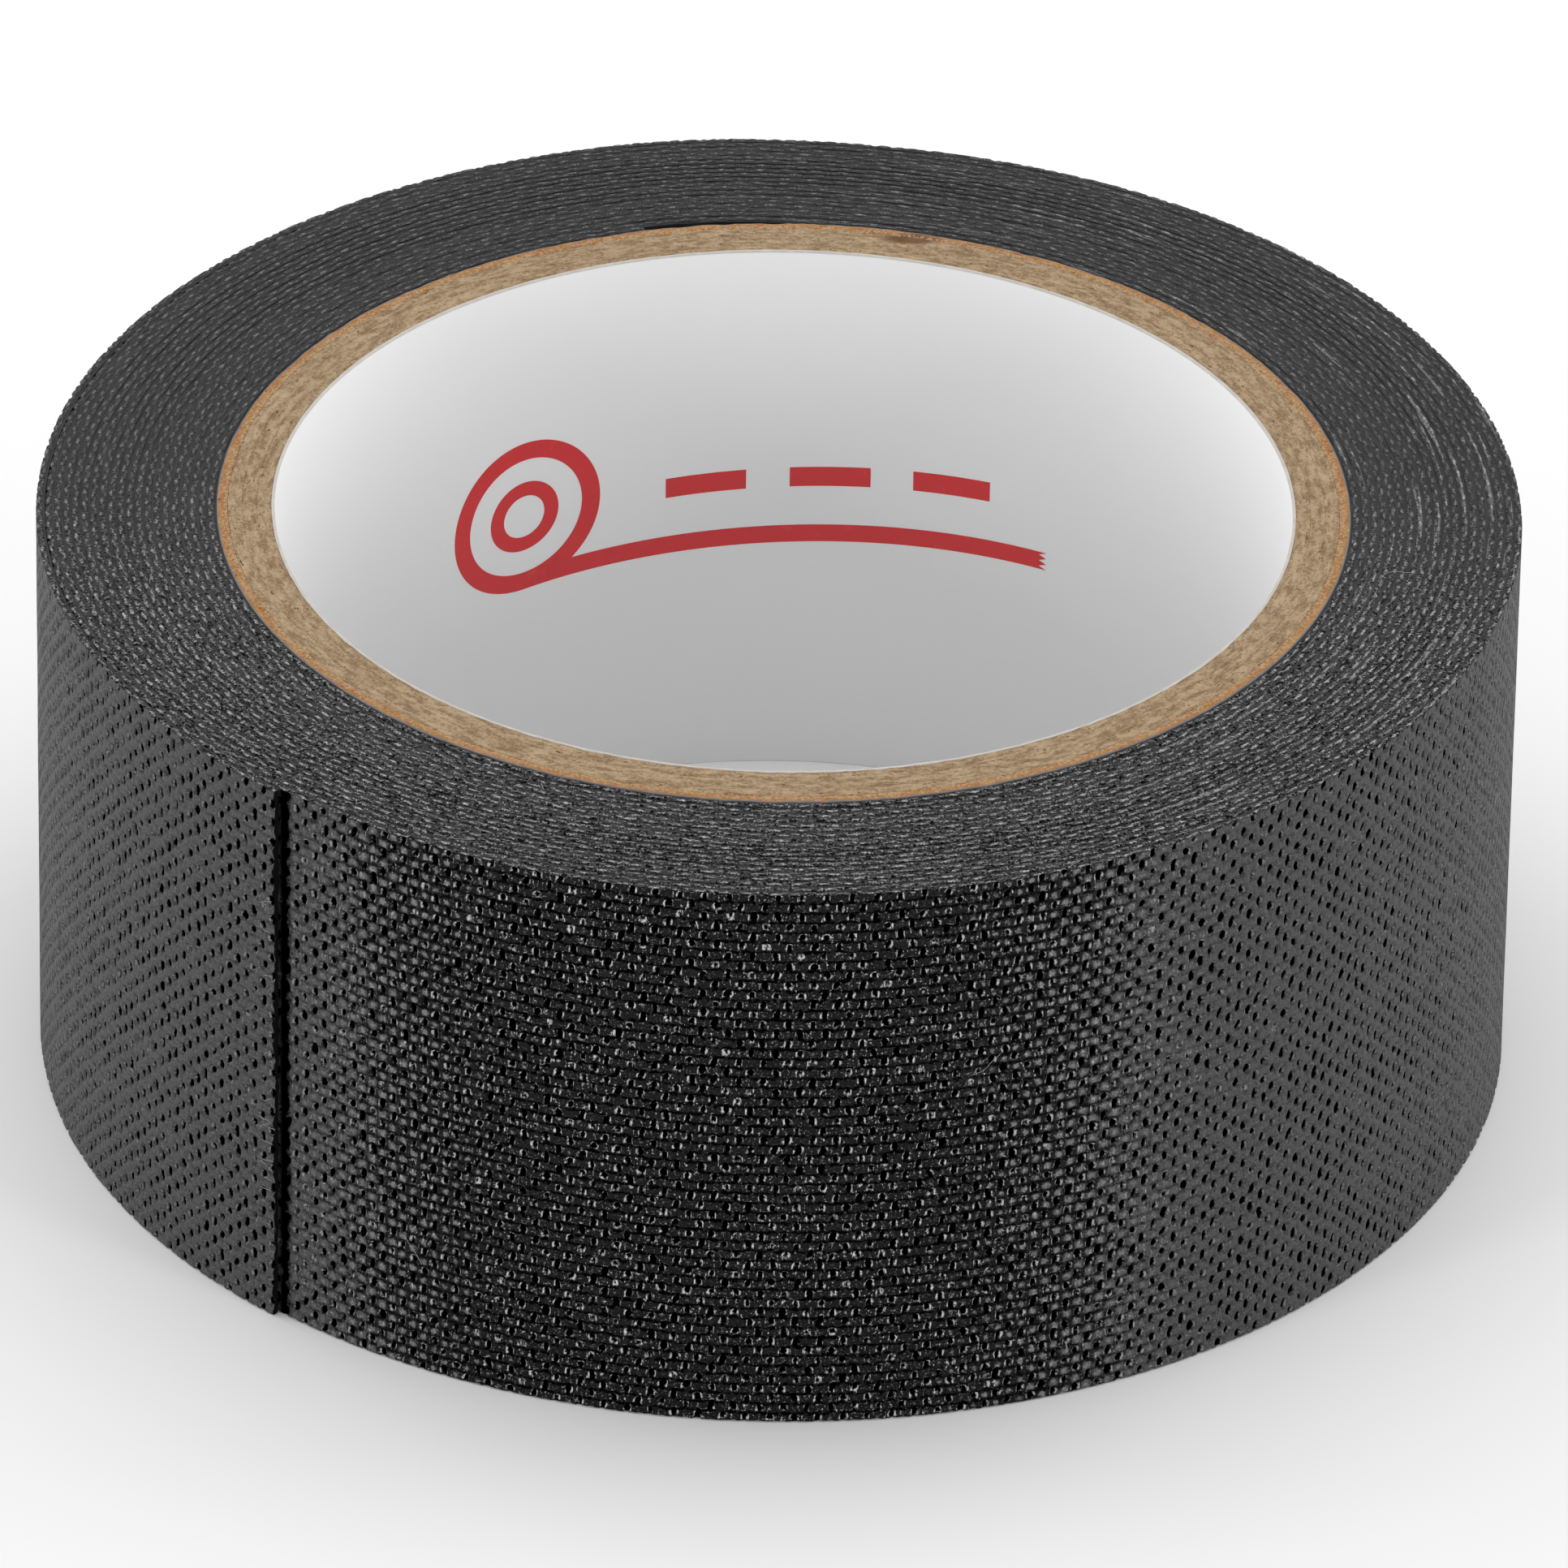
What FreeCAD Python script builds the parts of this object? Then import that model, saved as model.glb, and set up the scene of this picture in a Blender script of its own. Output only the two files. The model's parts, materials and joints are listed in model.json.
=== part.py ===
"""A small roll of black woven cloth tape, wound on a laminated paperboard core.

The roll lies on its side face: +Z is the axis of the core, z = 0 the lower side face, and the origin is
the middle of the bore there. Lengths are millimetres and angles are degrees, anticlockwise seen from +Z.

The core is a stack of paper tubes. The tape is one strip, cloth with adhesive on its inner side. It lies
level for most of each turn and climbs by its own thickness over its starting edge once a turn. The last
part of its outer turn, the tail, is cut into short links, so that its free end can be peeled off.
"""

import FreeCAD
import Part
import Sketcher

import math
import os

from FreeCAD import Placement, Rotation, Vector

CHIPBOARD_PLIES = 3
TAIL_LINKS = 8
PARTS_FOLDER = "parts"

SIZES = [
    ("tape_width", 19.0, "width of the tape, and length of the core"),
    ("bore_radius", 15.8, "inside of the core"),
    ("liner_thickness", 0.10, "white printed paper that lines the bore"),
    ("chipboard_thickness", 0.45, "each grey-brown ply in the middle of the core"),
    ("kraft_thickness", 0.35, "orange-brown paper ply on the outside of the core"),
    ("cloth_thickness", 0.21, "woven and coated backing of the tape"),
    ("adhesive_thickness", 0.07, "adhesive on the inner side of the backing"),
    ("full_turns", 19, "whole turns under the outermost, part turn"),
    ("free_end_angle", 229.0, "where the strip's cut end lies"),
    ("tail_angle", 96.0, "arc of the outer turn that can be peeled off"),
    ("climb_angle", 30.0, "arc over which each turn climbs onto the next level"),
    ("climb_lead_angle", 28.0, "level arc between the last climb and the tail"),
    ("tail_clearance", 0.03, "gap under the tail's adhesive"),
]

CORE_RADIUS = (
    "(sizes.bore_radius + sizes.liner_thickness"
    f" + {CHIPBOARD_PLIES} * sizes.chipboard_thickness + sizes.kraft_thickness)"
)
TAIL_INNER_RADIUS = f"({CORE_RADIUS} + sizes.full_turns * (sizes.cloth_thickness + sizes.adhesive_thickness))"


def make_sheet(doc):
    """Write the driving sizes into a spreadsheet, one row each, with an alias for every value."""
    sheet = doc.addObject("Spreadsheet::Sheet", "sizes")
    for row, (alias, value, meaning) in enumerate(SIZES, start=1):
        sheet.set(f"A{row}", alias)
        sheet.set(f"B{row}", str(value))
        sheet.set(f"C{row}", meaning)
        sheet.setAlias(f"B{row}", alias)
    doc.recompute()
    return sheet


def origin_feature(body, role):
    """The plane or axis of the body's own origin that has this role."""
    return next(feature for feature in body.Origin.OriginFeatures if feature.Role == role)


def draw_section(body, inner_radius, outer_radius):
    """Sketch a rectangle in the body's XZ plane, from inner_radius to outer_radius and as wide as the tape."""
    sketch = body.newObject("Sketcher::SketchObject", f"{body.Name}_section")
    sketch.AttachmentSupport = (origin_feature(body, "XZ_Plane"), [""])
    sketch.MapMode = "FlatFace"
    corners = [Vector(10, 0, 0), Vector(20, 0, 0), Vector(20, 10, 0), Vector(10, 10, 0)]
    bottom, outside, top, inside = (
        sketch.addGeometry(Part.LineSegment(corners[side], corners[(side + 1) % 4])) for side in range(4)
    )
    for side, following in ((bottom, outside), (outside, top), (top, inside), (inside, bottom)):
        sketch.addConstraint(Sketcher.Constraint("Coincident", side, 2, following, 1))
    for side in (bottom, top):
        sketch.addConstraint(Sketcher.Constraint("Horizontal", side))
    for side in (outside, inside):
        sketch.addConstraint(Sketcher.Constraint("Vertical", side))
    sketch.addConstraint(Sketcher.Constraint("PointOnObject", bottom, 1, -1))
    driven = (
        ("inner_radius", Sketcher.Constraint("DistanceX", -1, 1, inside, 2, 10.0), inner_radius),
        ("outer_radius", Sketcher.Constraint("DistanceX", -1, 1, outside, 1, 20.0), outer_radius),
        ("width", Sketcher.Constraint("DistanceY", -1, 1, top, 1, 10.0), "sizes.tape_width"),
    )
    for name, constraint, expression in driven:
        sketch.renameConstraint(sketch.addConstraint(constraint), name)
        sketch.setExpression(f"Constraints.{name}", expression)
    return sketch


def revolved_body(doc, name, inner_radius, outer_radius, sweep="360", start_angle=None):
    """A wall between two radii, turned about the roll's axis; all sizes are expressions on the sheet."""
    body = doc.addObject("PartDesign::Body", name)
    body.Label = name
    section = draw_section(body, inner_radius, outer_radius)
    turn = body.newObject("PartDesign::Revolution", f"{name}_turn")
    turn.Profile = section
    turn.ReferenceAxis = (origin_feature(body, "Z_Axis"), [""])
    turn.setExpression("Angle", sweep)
    section.Visibility = False
    if start_angle is not None:
        body.Placement = Placement(Vector(), Rotation(Vector(0, 0, 1), 1.0))
        body.setExpression("Placement.Rotation.Angle", start_angle)
    return body


def make_core(doc):
    """The paper tubes of the core, from the printed liner outwards."""
    layers = [("core_liner_paper", "sizes.liner_thickness")]
    for ply in range(1, CHIPBOARD_PLIES + 1):
        layers.append((f"core_chipboard_ply_{ply}", "sizes.chipboard_thickness"))
    layers.append(("core_kraft_ply", "sizes.kraft_thickness"))
    bodies = []
    inner_radius = "sizes.bore_radius"
    for name, thickness in layers:
        outer_radius = f"{inner_radius} + {thickness}"
        bodies.append(revolved_body(doc, name, inner_radius, outer_radius))
        inner_radius = outer_radius
    return bodies


def direction(angle):
    """Unit vector in the XY plane at an angle in degrees."""
    return Vector(math.cos(math.radians(angle)), math.sin(math.radians(angle)), 0)


class Winding:
    """The path of the wound strip: a level arc and two climbing arcs a turn, each tangent to the next."""

    def __init__(self, sheet):
        self.core_radius = (
            sheet.bore_radius + sheet.liner_thickness
            + CHIPBOARD_PLIES * sheet.chipboard_thickness + sheet.kraft_thickness
        )
        self.pitch = sheet.cloth_thickness + sheet.adhesive_thickness
        self.climb = sheet.climb_angle
        tail_angle = sheet.free_end_angle - sheet.tail_angle
        self.start = tail_angle - sheet.climb_lead_angle
        self.tail_root = tail_angle + 360 * sheet.full_turns
        # The first climbing arc is wider than the level one by this, and the second is tighter by the same.
        self.climb_shift = self.pitch / (2 * (1 - math.cos(math.radians(self.climb / 2))))

    def turn_arcs(self):
        """Yield (first angle, last angle, centre, radius of the strip's inner face) for every turn in full."""
        climb_end = self.start
        radius = self.core_radius
        while climb_end < self.tail_root:
            level_start, climb_end = climb_end, climb_end + 360
            climb_start = climb_end - self.climb
            climb_middle = climb_end - self.climb / 2
            yield level_start, climb_start, Vector(), radius
            low_centre = direction(climb_start) * -self.climb_shift
            yield climb_start, climb_middle, low_centre, radius + self.climb_shift
            radius += self.pitch
            high_centre = direction(climb_end) * self.climb_shift
            yield climb_middle, climb_end, high_centre, radius - self.climb_shift

    def edges(self, first, last, distance):
        """The arcs between two angles of the path, at a distance outside the strip's inner face."""
        edges = []
        for arc_first, arc_last, centre, radius in self.turn_arcs():
            low, high = max(first, arc_first), min(last, arc_last)
            if low < high:
                points = [centre + direction(a) * (radius + distance) for a in (low, (low + high) / 2, high)]
                edges.append(Part.Arc(*points).toShape())
        return edges

    def strip(self, first, last, inside, outside, width):
        """The strip from angle first to last, between two distances from its inner face, standing on z = 0."""
        inner_edges = self.edges(first, last, inside)
        outer_edges = self.edges(first, last, outside)
        first_cut = Part.LineSegment(outer_edges[0].firstVertex().Point, inner_edges[0].firstVertex().Point)
        last_cut = Part.LineSegment(inner_edges[-1].lastVertex().Point, outer_edges[-1].lastVertex().Point)
        outline = inner_edges + [last_cut.toShape()] + outer_edges[::-1] + [first_cut.toShape()]
        return Part.Face(Part.Wire(outline)).extrude(Vector(0, 0, width))


def make_wound_tape(doc, sheet):
    """The strip from its starting edge on the core to the root of the tail: adhesive, and cloth over it."""
    winding = Winding(sheet)
    outer_turn_start = winding.tail_root - 360
    stretches = (("inner_turns", winding.start, outer_turn_start), ("outer_turn", outer_turn_start, winding.tail_root))
    layers = (("adhesive", 0.0, sheet.adhesive_thickness), ("cloth", sheet.adhesive_thickness, winding.pitch))
    pieces = []
    for stretch, first, last in stretches:
        for layer, inside, outside in layers:
            piece = doc.addObject("Part::Feature", f"{layer}_{stretch}")
            piece.Label = piece.Name
            piece.Shape = winding.strip(first, last, inside, outside, sheet.tape_width)
            pieces.append(piece)
    return pieces


def make_tail(doc):
    """The links of the tail, from its root to the free end; each hinges on the outer edge of the one before."""
    link_sweep = f"sizes.tail_angle / {TAIL_LINKS}"
    cloth_inner = f"{TAIL_INNER_RADIUS} + sizes.adhesive_thickness"
    layers = (
        ("tail_adhesive", f"{TAIL_INNER_RADIUS} + sizes.tail_clearance", cloth_inner),
        ("tail_cloth", cloth_inner, f"{cloth_inner} + sizes.cloth_thickness"),
    )
    bodies = []
    for link in range(1, TAIL_LINKS + 1):
        start_angle = f"sizes.free_end_angle - {TAIL_LINKS + 1 - link} * {link_sweep}"
        for name, inner_radius, outer_radius in layers:
            body = revolved_body(doc, f"{name}_{link}", inner_radius, outer_radius, link_sweep, start_angle)
            bodies.append(body)
    return bodies


def check_document(doc, pieces):
    """Stop if any object failed to compute, or any piece isn't one valid solid."""
    for item in doc.Objects:
        failed = [state for state in item.State if state in ("Invalid", "Error")]
        if failed:
            raise RuntimeError(f"{item.Label} failed to compute: {failed}")
    for piece in pieces:
        shape = piece.Shape
        if shape.isNull() or not shape.isValid() or len(shape.Solids) != 1:
            raise RuntimeError(f"{piece.Label} isn't one valid solid")


def main():
    doc = FreeCAD.newDocument("cloth_tape_roll")
    sheet = make_sheet(doc)
    pieces = make_core(doc) + make_wound_tape(doc, sheet) + make_tail(doc)
    doc.recompute()
    check_document(doc, pieces)

    os.makedirs(PARTS_FOLDER, exist_ok=True)
    for piece in pieces:
        piece.Shape.exportStep(os.path.join(PARTS_FOLDER, f"{piece.Label}.step"))
        box = piece.Shape.BoundBox
        print(
            f"{piece.Label}: {piece.Shape.Volume:.2f} mm3,"
            f" x {box.XMin:.2f} to {box.XMax:.2f}, y {box.YMin:.2f} to {box.YMax:.2f},"
            f" z {box.ZMin:.2f} to {box.ZMax:.2f}"
        )


main()
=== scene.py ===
"""Looks of a roll of black woven cloth tape on a paper core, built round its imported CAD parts.

Lengths are in metres, in the frame of the CAD model: the roll lies on z = 0 and its axis is Z.
Angles along the wound strip are in degrees, counted on from turn to turn.
"""

import json
import logging
import math
from collections.abc import Callable, Iterator
from contextlib import contextmanager
from dataclasses import dataclass
from enum import Enum

import bmesh
import bpy
import numpy as np
from mathutils import Matrix, Vector, noise


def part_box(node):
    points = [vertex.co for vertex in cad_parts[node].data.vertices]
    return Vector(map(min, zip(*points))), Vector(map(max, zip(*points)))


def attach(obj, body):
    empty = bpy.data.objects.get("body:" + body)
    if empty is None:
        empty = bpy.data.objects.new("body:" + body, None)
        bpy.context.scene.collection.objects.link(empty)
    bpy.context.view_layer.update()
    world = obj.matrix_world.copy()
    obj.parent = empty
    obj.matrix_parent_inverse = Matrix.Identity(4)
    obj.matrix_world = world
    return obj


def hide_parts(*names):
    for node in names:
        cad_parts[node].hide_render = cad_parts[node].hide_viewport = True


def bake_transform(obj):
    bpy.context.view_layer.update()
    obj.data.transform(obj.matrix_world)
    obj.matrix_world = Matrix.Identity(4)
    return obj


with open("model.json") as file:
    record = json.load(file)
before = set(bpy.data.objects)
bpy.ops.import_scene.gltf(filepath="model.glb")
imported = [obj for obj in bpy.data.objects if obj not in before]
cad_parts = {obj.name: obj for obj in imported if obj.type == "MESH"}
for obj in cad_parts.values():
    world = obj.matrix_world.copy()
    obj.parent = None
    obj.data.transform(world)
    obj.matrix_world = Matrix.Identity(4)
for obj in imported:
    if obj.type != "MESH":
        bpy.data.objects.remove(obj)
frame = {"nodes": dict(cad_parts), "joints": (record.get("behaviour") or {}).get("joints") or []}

log = logging.getLogger("tape_roll")

MM = 0.001
TAPE_WIDTH = 19.0 * MM
PICK_PITCH = 0.372 * MM
MERGE_DISTANCE = 2e-6
TOUCHING = 1e-6
# Length of a degree of the path in a flat piece that has no weave.
FLAT_DEGREE = 0.35 * MM
SEED = 20
STRIP = "strip"
PIT = "pit"

Piece = bpy.types.Object
Material = bpy.types.Material
Socket = bpy.types.NodeSocket
Colour = tuple[float, float, float]
Pair = tuple[float, float]


class Slot(Enum):
    """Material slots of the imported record."""

    CLOTH = "black_cloth"
    ADHESIVE = "adhesive"
    LINER = "liner_paper"
    CHIPBOARD = "chipboard"
    KRAFT = "kraft_paper"


# ---- Shader maths


class Value:
    """A shader socket that takes part in Python sums: every operator adds one Math node."""

    def __init__(self, tree: "Tree", socket: Socket) -> None:
        """Wraps one output socket of a tree."""
        self.tree = tree
        self.socket = socket

    def math(self, operation: str, *others: "Value | float", swap: bool = False) -> "Value":
        """Adds a Math node on this value.

        Args:
            operation: Blender's name of the operation.
            others: the other operands.
            swap: puts this value after the others.

        Returns:
            The node's result.
        """
        operands = [*others, self] if swap else [self, *others]
        node = self.tree.node("ShaderNodeMath", {"operation": operation}, dict(enumerate(operands)))
        return Value(self.tree, node.outputs[0])

    def __add__(self, other: "Value | float") -> "Value":
        """Sum."""
        return self.math("ADD", other)

    __radd__ = __add__

    def __sub__(self, other: "Value | float") -> "Value":
        """Difference."""
        return self.math("SUBTRACT", other)

    def __rsub__(self, other: float) -> "Value":
        """Difference from a number."""
        return self.math("SUBTRACT", other, swap=True)

    def __mul__(self, other: "Value | float") -> "Value":
        """Product."""
        return self.math("MULTIPLY", other)

    __rmul__ = __mul__

    def __truediv__(self, other: "Value | float") -> "Value":
        """Quotient."""
        return self.math("DIVIDE", other)

    def __pow__(self, other: float) -> "Value":
        """Power."""
        return self.math("POWER", other)

    def __abs__(self) -> "Value":
        """Size without sign."""
        return self.math("ABSOLUTE")

    def sine(self) -> "Value":
        """Sine of a value in radians."""
        return self.math("SINE")

    def cosine(self) -> "Value":
        """Cosine of a value in radians."""
        return self.math("COSINE")

    def most(self, other: "Value | float") -> "Value":
        """The greater of two values."""
        return self.math("MAXIMUM", other)

    def step(self, low: float, high: float) -> "Value":
        """A smooth rise, or a fall where low is the greater.

        Args:
            low: the value at which it is 0.
            high: the value at which it is 1.

        Returns:
            A value from 0 to 1.
        """
        ends = {"From Min": min(low, high), "From Max": max(low, high)}
        ends |= {"To Min": float(low > high), "To Max": float(low < high), "Value": self}
        node = self.tree.node("ShaderNodeMapRange", {"interpolation_type": "SMOOTHSTEP"}, ends)
        return Value(self.tree, node.outputs["Result"])


class Tree:
    """Node tree of one material."""

    def __init__(self, name: str) -> None:
        """Makes an empty material.

        Args:
            name: of the material.
        """
        self.material = bpy.data.materials.new(name)
        self.material.use_nodes = True
        self.nodes = self.material.node_tree.nodes
        self.links = self.material.node_tree.links
        self.nodes.clear()

    def node(self, kind: str, settings: dict | None = None, inputs: dict | None = None) -> bpy.types.Node:
        """Adds any node.

        Args:
            kind: Blender's type name.
            settings: attributes to set first.
            inputs: socket names or numbers, each with a number, a colour, a socket or a Value.

        Returns:
            The node.
        """
        node = self.nodes.new(kind)
        for name, value in (settings or {}).items():
            setattr(node, name, value)
        for name, value in (inputs or {}).items():
            source = value.socket if isinstance(value, Value) else value
            if isinstance(source, Socket):
                self.links.new(source, node.inputs[name])
            else:
                node.inputs[name].default_value = source
        return node

    def split(self, vector: Socket) -> tuple[Value, Value, Value]:
        """The three numbers of a vector socket."""
        node = self.node("ShaderNodeSeparateXYZ", inputs={0: vector})
        return tuple(Value(self, out) for out in node.outputs)

    def join(self, x: Value | float, y: Value | float, z: Value | float = 0.0) -> Socket:
        """A vector socket of three numbers."""
        return self.node("ShaderNodeCombineXYZ", inputs={0: x, 1: y, 2: z}).outputs[0]

    def place(self) -> Socket:
        """Place in the roll's frame."""
        return self.node("ShaderNodeTexCoord").outputs["Object"]

    def strip(self) -> tuple[Value, Value, Value]:
        """Place on the strip: number of picks along it, share of its thickness, number of ends across it."""
        return self.split(self.node("ShaderNodeAttribute", {"attribute_name": STRIP}).outputs["Vector"])

    def mark(self, name: str) -> Value:
        """A number stored on the mesh."""
        return Value(self, self.node("ShaderNodeAttribute", {"attribute_name": name}).outputs["Fac"])

    def grain(self, scale: float, detail: float = 2.0, rough: float = 0.5, at: Socket | None = None) -> Value:
        """Adds a noise.

        Args:
            scale: number of its cells in a unit of length.
            detail: number of finer layers.
            rough: how strong the finer layers are.
            at: the vector that it reads, or None for the place in the roll's frame.

        Returns:
            A value from 0 to 1.
        """
        space = self.place() if at is None else at
        inputs = {"Vector": space, "Scale": scale, "Detail": detail, "Roughness": rough}
        return Value(self, self.node("ShaderNodeTexNoise", inputs=inputs).outputs[0])

    def mix(self, share: Value | float, first: Socket | Colour, second: Socket | Colour) -> Socket:
        """Colour that goes from first to second as share goes from 0 to 1."""
        inputs = {0: share, 6: as_colour(first), 7: as_colour(second)}
        return self.node("ShaderNodeMix", {"data_type": "RGBA"}, inputs).outputs[2]

    def bump(self, height: Value, distance: float) -> Socket:
        """Normal of a surface with that height, which is in units of distance."""
        inputs = {"Height": height, "Distance": distance, "Strength": 1.0}
        return self.node("ShaderNodeBump", inputs=inputs).outputs[0]

    def finish(self, painted_shade: Value | None = None, **sockets: object) -> Material:
        """Adds the surface shader and its output.

        Args:
            painted_shade: where it is 1 the surface sends back no light, as painted shade.
            sockets: values of the shader's sockets, with _ for the spaces in their names.

        Returns:
            The material.
        """
        inputs = {name.replace("_", " "): as_colour(value) for name, value in sockets.items()}
        shader = self.node("ShaderNodeBsdfPrincipled", inputs=inputs)
        # Painted shade: where the mask is 1 a black shader replaces the surface.
        if painted_shade:
            black = self.node("ShaderNodeBsdfDiffuse", inputs={"Color": as_colour((0.0, 0.0, 0.0))})
            shaders = {1: shader.outputs[0], 2: black.outputs[0]}
            shader = self.node("ShaderNodeMixShader", inputs={0: painted_shade, **shaders})
        self.node("ShaderNodeOutputMaterial", inputs={"Surface": shader.outputs[0]})
        return self.material


def as_colour(value: object) -> object:
    """A colour of three numbers with its alpha, and anything else as it is."""
    return (*value, 1.0) if isinstance(value, tuple) else value


# ---- Finishes


@dataclass(frozen=True)
class CoatedFace:
    """The coated outer face of the backing: a black film that dips into small pits, with the yarns under it.

    The coat is painted paler on the roll's left and right as a painted sheen, the rims of its pits get
    painted glints in between, and painted shade lies in the pits, between the rows and beside the free end.
    """

    end_mark: float
    film: Colour = (0.003, 0.003, 0.0032)
    # Painted sheen: the paler colour of the coat on the roll's left and right stands in for the reflection of
    # the side lights.
    scuff_and_sheen: Colour = (0.075, 0.075, 0.075)
    # Painted sheen on the knuckles, between the dark front and the pale sides.
    knuckle_sheen: Colour = (0.21, 0.21, 0.21)
    dust: Colour = (0.12, 0.12, 0.122)
    # Colour of the painted glints on the rims of the pits and of the painted sparkles.
    rim: Colour = (0.68, 0.68, 0.685)
    specular: float = 0.10
    pitch_mm: Pair = (0.372, 0.3455)
    # Where the painted sheen of the right and of the left begins and where it is full, along x.
    sheen_right: Pair = (3 * MM, 17 * MM)
    sheen_left: Pair = (-6 * MM, -19 * MM)
    bump: float = 0.1 * MM

    def material(self) -> Material:
        """Makes the material.

        Returns:
            The material.
        """
        tree = Tree("coated black cloth")
        picks, _, ends = tree.strip()
        pit = tree.mark(PIT)
        x, _, _ = tree.split(tree.place())
        # Painted sheen: 1 on the roll's left and right, where the side lights would show in the coat.
        side = x.step(*self.sheen_right).most(x.step(*self.sheen_left))
        flat = tree.join(picks * self.pitch_mm[0], 0.0, ends * self.pitch_mm[1])
        speckle = tree.grain(13.0, 3.0, 0.7, flat)
        ridge = tree.grain(5.0, 2.0, 0.6, flat)
        patches = tree.grain(0.6, at=flat)
        upright = tree.grain(1.0, 2.0, 0.6, tree.join(picks * 4.2, 0.0, ends * 1.1))
        uneven = ridge - 0.5
        wander = tree.grain(2.3, 2.0, 0.6, flat) - 0.5
        row = abs(((ends + wander * 0.55) * math.pi).sine())
        knuckle = ((picks * math.pi).sine() * (ends * math.pi).sine() * -1.0).most(0.0)
        # Painted shade: black in the pits and between the rows, weaker on the left and right, and a painted
        # shadow beside the free end.
        painted_shade = (pit + uneven * 1.1).step(0.3, 0.6)
        shade_between_rows = (row + uneven * 2.6).step(0.5, 0.15) * (0.9 - side * 0.82)
        beside = picks - self.end_mark
        painted_end_shadow = (beside + uneven * 1.5).step(1.2, 0.5) * beside.step(-0.6, 0.0)
        # The painted sheen shows first where a crossing stands up, then on the whole film of the left and
        # right.
        mottle = speckle.step(0.38, 0.6) * 0.5 + ridge.step(0.35, 0.6) * 0.35
        painted_sheen = (knuckle * 0.8 + uneven * 1.2 + side * 1.7 - 0.75).step(0.0, 0.45)
        knuckle_sheen = (knuckle + (upright - 0.5) * 1.5 + (speckle - 0.5) * 1.2).step(0.5, 0.95) * side.step(0.9, 0.4)
        colour = tree.mix(painted_sheen * (0.4 + mottle), self.film, self.scuff_and_sheen)
        colour = tree.mix(painted_sheen * knuckle_sheen * (0.2 + mottle), colour, self.knuckle_sheen)
        colour = tree.mix(speckle.step(0.54, 0.68) * (0.25 + patches * 0.6), colour, self.dust)
        # Painted glints: pale colour on the rims of the pits and in small sparkles, weaker on the left and
        # right.
        flank = pit.step(0.03, 0.25) * pit.step(0.9, 0.5) * row.step(0.35, 0.85)
        shine = flank * (speckle * 0.4 + upright * 0.6).step(0.45, 0.57) * (1 - side * 0.82)
        painted_sparkle = (speckle * 0.5 + upright * 0.5).step(0.575, 0.65) * (1 - side * 0.85)
        colour = tree.mix(shine.most(painted_sparkle * 0.8), colour, self.rim)
        roughness = 0.42 + speckle * 0.2 - flank * 0.15
        height = row**0.4 * 0.12 + knuckle**0.7 * 0.10 + speckle * 0.5 + ridge * 0.6
        return tree.finish(
            painted_shade.most(shade_between_rows).most(painted_end_shadow), Base_Color=colour, Roughness=roughness,
            Normal=tree.bump(height, self.bump), Specular_IOR_Level=self.specular,
        )


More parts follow.
